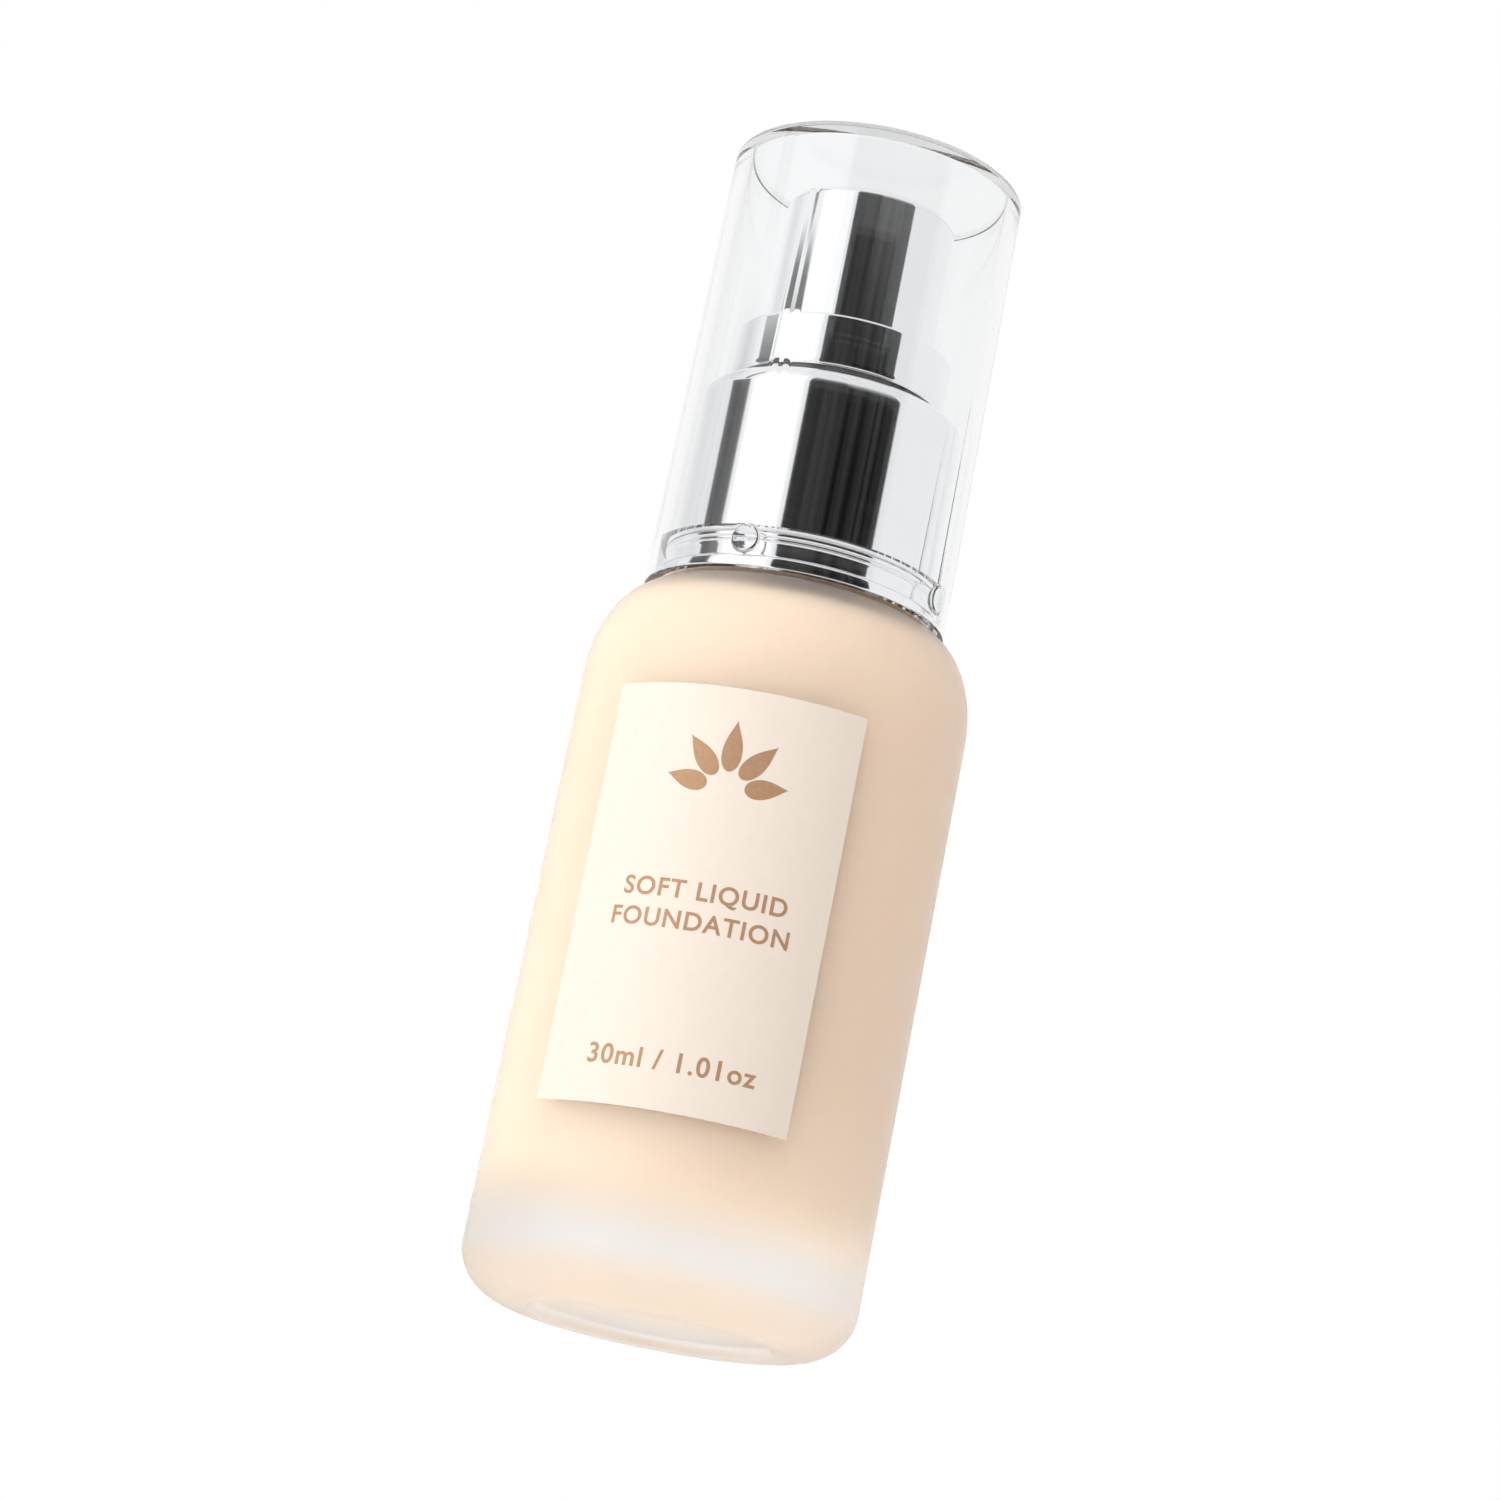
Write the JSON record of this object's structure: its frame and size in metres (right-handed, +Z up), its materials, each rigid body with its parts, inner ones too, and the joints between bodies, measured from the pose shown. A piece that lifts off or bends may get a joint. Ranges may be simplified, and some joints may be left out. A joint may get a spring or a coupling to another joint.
{
  "type": "pump bottle",
  "caption": "Glass pump bottle for liquid foundation with a bright metal collar, a stepped press-down button and a clear pull-off overcap.",
  "frame": {"origin": "centre of the bottle's base, in the plane it rests on", "axes": "+Z up along the bottle's axis, -Y towards the label's middle, +X to the right seen from the front"},
  "size_m": [0.033, 0.0332, 0.103],
  "materials": {
    "frosted_glass": "frosted",
    "label_paper": "satin cream paper",
    "foundation_liquid": "opaque beige liquid",
    "clear_plastic": "clear, polished",
    "bright_metal": "mirror bright",
    "white_plastic": "semi-gloss moulded",
    "soft_white_plastic": "soft matte",
    "natural_plastic": "translucent natural",
    "gasket_foam": "closed-cell foam",
    "spring_steel": "bright drawn steel"
  },
  "bodies": {
    "bottle": {"glass_bottle": "frosted_glass", "front_label": "label_paper", "foundation_fill": "foundation_liquid"},
    "pump": {"pump_housing": "natural_plastic", "housing_retainer": "white_plastic", "neck_gasket": "gasket_foam", "dip_tube": "natural_plastic", "return_spring": "spring_steel"},
    "collar": {"collar_shell": "bright_metal", "screw_closure": "white_plastic"},
    "overcap": {"overcap": "clear_plastic"},
    "piston": {"piston_seal": "soft_white_plastic"},
    "actuator": {"actuator_shell": "bright_metal", "actuator_core": "white_plastic", "nozzle_insert": "white_plastic", "pump_stem": "natural_plastic", "piston_rod": "natural_plastic"},
    "inlet_ball": {"inlet_ball": "spring_steel"}
  },
  "joints": [
    {"name": "pump_rise", "type": "slide", "parent": "bottle", "child": "pump", "axis": [0, 0, 1], "range_m": [0, 0.00478]},
    {"name": "collar_turn", "type": "hinge", "parent": "pump", "child": "collar", "pos_m": [0, 0, 0.0695], "axis": [0, 0, 1], "range_deg": [0, 540]},
    {"name": "overcap_pull", "type": "slide", "parent": "collar", "child": "overcap", "axis": [0, 0, 1], "range_m": [0, 0.06]},
    {"name": "pump_press", "type": "slide", "parent": "pump", "child": "piston", "axis": [0, 0, -1], "range_m": [0, 0.0045], "stiffness_N_per_m": 900, "springref_m": -0.006, "deforming": ["return_spring"]},
    {"name": "actuator_swivel", "type": "hinge", "parent": "piston", "child": "actuator", "pos_m": [0, 0, 0.09], "axis": [0, 0, 1], "continuous": true},
    {"name": "inlet_ball_lift", "type": "slide", "parent": "pump", "child": "inlet_ball", "axis": [0, 0, 1], "range_m": [0, 0.0008]}
  ],
  "couplings": [
    {"joint": "pump_rise", "follows": "collar_turn", "m_per_rad": 0.000506}
  ]
}
